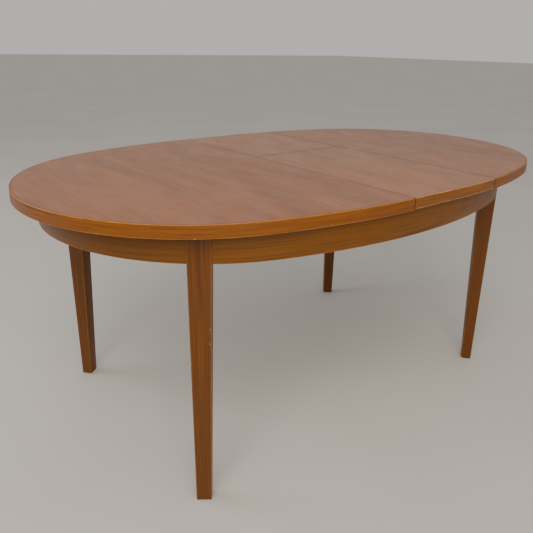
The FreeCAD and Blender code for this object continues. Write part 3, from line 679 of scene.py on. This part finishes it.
def scatter_group(pattern, mat):
    """Geometry nodes that set a pattern on every point, each turned at random about its own axis."""
    group = bpy.data.node_groups.new("driven_screws", "GeometryNodeTree")
    face = group.interface
    face.new_socket("Places", in_out="INPUT", socket_type="NodeSocketGeometry")
    turn_in = face.new_socket("Largest Turn", in_out="INPUT", socket_type="NodeSocketFloat")
    turn_in.default_value = 6.283
    seed_in = face.new_socket("Seed", in_out="INPUT", socket_type="NodeSocketInt")
    seed_in.default_value = 7
    face.new_socket("Screws", in_out="OUTPUT", socket_type="NodeSocketGeometry")
    nodes, links = group.nodes, group.links
    start = nodes.new("NodeGroupInput")
    stop = nodes.new("NodeGroupOutput")
    source = nodes.new("GeometryNodeObjectInfo")
    source.inputs["Object"].default_value = pattern
    place = nodes.new("GeometryNodeInstanceOnPoints")
    chance = nodes.new("FunctionNodeRandomValue")
    chance.data_type = "FLOAT"
    turn = nodes.new("ShaderNodeCombineXYZ")
    real = nodes.new("GeometryNodeRealizeInstances")
    paint = nodes.new("GeometryNodeSetMaterial")
    paint.inputs["Material"].default_value = mat
    links.new(start.outputs["Places"], place.inputs["Points"])
    links.new(source.outputs["Geometry"], place.inputs["Instance"])
    links.new(start.outputs["Largest Turn"], chance.inputs[3])
    links.new(start.outputs["Seed"], chance.inputs["Seed"])
    links.new(chance.outputs[1], turn.inputs[2])
    links.new(turn.outputs[0], place.inputs["Rotation"])
    links.new(place.outputs[0], real.inputs[0])
    links.new(real.outputs[0], paint.inputs["Geometry"])
    links.new(paint.outputs[0], stop.inputs[0])
    return group


pattern = screw_pattern()
screw_nodes = scatter_group(pattern, zinc)
screw_bodies = {
    "guide_rail_screws": "frame",
    "leaf_ledge_screws": "frame",
    "runner_screws_left": "half_top_left",
    "runner_screws_right": "half_top_right",
}
for node, body in screw_bodies.items():
    heads = [((low.x + high.x) / 2, (low.y + high.y) / 2, low.z + 0.00005) for low, high in islands(node)]
    places = bpy.data.meshes.new(node + "_places")
    places.from_pydata(heads, [], [])
    carrier = bpy.data.objects.new(node + "_carrier", places)
    bpy.context.collection.objects.link(carrier)
    carrier.modifiers.new("driven_screws", "NODES").node_group = screw_nodes
    bpy.context.view_layer.update()
    made = carrier.evaluated_get(bpy.context.evaluated_depsgraph_get())
    mesh = bpy.data.meshes.new_from_object(made)
    mesh.name = node + "_driven"
    bpy.data.objects.remove(carrier)
    bpy.data.meshes.remove(places)
    mesh.materials.clear()
    mesh_object(node + "_driven", mesh, zinc, node, body)
bpy.data.objects.remove(pattern)


# --- Floor, light and camera --------------------------------------------------------------
# A plain pale studio floor under a pale sky, one broad soft lamp from the front left, and weaker
# ones behind it and in front that lift the sheen on the top and the faces of the legs.
bpy.ops.mesh.primitive_plane_add(size=90.0, location=(0.0, 0.0, -0.0005))
floor = bpy.context.object
floor.name = "studio_floor"
pale, surface = blank("pale_studio_floor")
tone = noise(pale, millimetres(pale, "Object", 0.0, (900.0, 900.0, 900.0)), 2.0)
mottle = blend(pale, span(pale, tone, 0.3, 0.7), linear("#c2bfba"), linear("#c9c6c1"))
link(pale, mottle, surface, "Base Color")
surface.inputs["Roughness"].default_value = 0.75
floor.data.materials.append(pale)

world = bpy.data.worlds.new("studio")
bpy.context.scene.world = world
world.use_nodes = True
world.node_tree.nodes["Background"].inputs[0].default_value = linear("#eae6e1")
world.node_tree.nodes["Background"].inputs[1].default_value = 0.72


def lamp(name, at, aim, size, power, tint):
    """A square soft box at one point, facing another."""
    light = bpy.data.lights.new(name, "AREA")
    light.size = size
    light.energy = power
    light.color = linear(tint)[:3]
    box = bpy.data.objects.new(name, light)
    bpy.context.collection.objects.link(box)
    box.location = at
    box.rotation_euler = (Vector(aim) - Vector(at)).to_track_quat("-Z", "Y").to_euler()


lamp("key", (-2.2, -2.2, 3.0), (0.0, 0.0, 0.6), 2.6, 115.0, "#fff3e4")
lamp("window", (-3.0, 2.6, 2.4), (0.0, 0.0, 0.7), 2.0, 48.0, "#f4f5ff")
lamp("front", (-0.6, -3.4, 1.6), (0.0, 0.0, 0.4), 2.0, 16.0, "#fff8f0")

yaw, pitch, roll = 0.6852, 0.3019, 0.0201
right = Vector((math.cos(yaw), -math.sin(yaw), 0.0))
ahead = Vector((math.sin(yaw) * math.cos(pitch), math.cos(yaw) * math.cos(pitch), -math.sin(pitch)))
up = right.cross(ahead)
turned_right = math.cos(roll) * right + math.sin(roll) * up
turned_up = -math.sin(roll) * right + math.cos(roll) * up
basis = Matrix((turned_right, turned_up, -ahead)).transposed()
lens = bpy.data.cameras.new("camera")
lens.sensor_width = 36.0
lens.lens = 39.17
lens.shift_x = -0.0131
lens.shift_y = -0.0791
camera = bpy.data.objects.new("camera", lens)
bpy.context.collection.objects.link(camera)
camera.matrix_world = Matrix.Translation((-1.2570, -1.4022, 1.0987)) @ basis.to_4x4()
bpy.context.scene.camera = camera
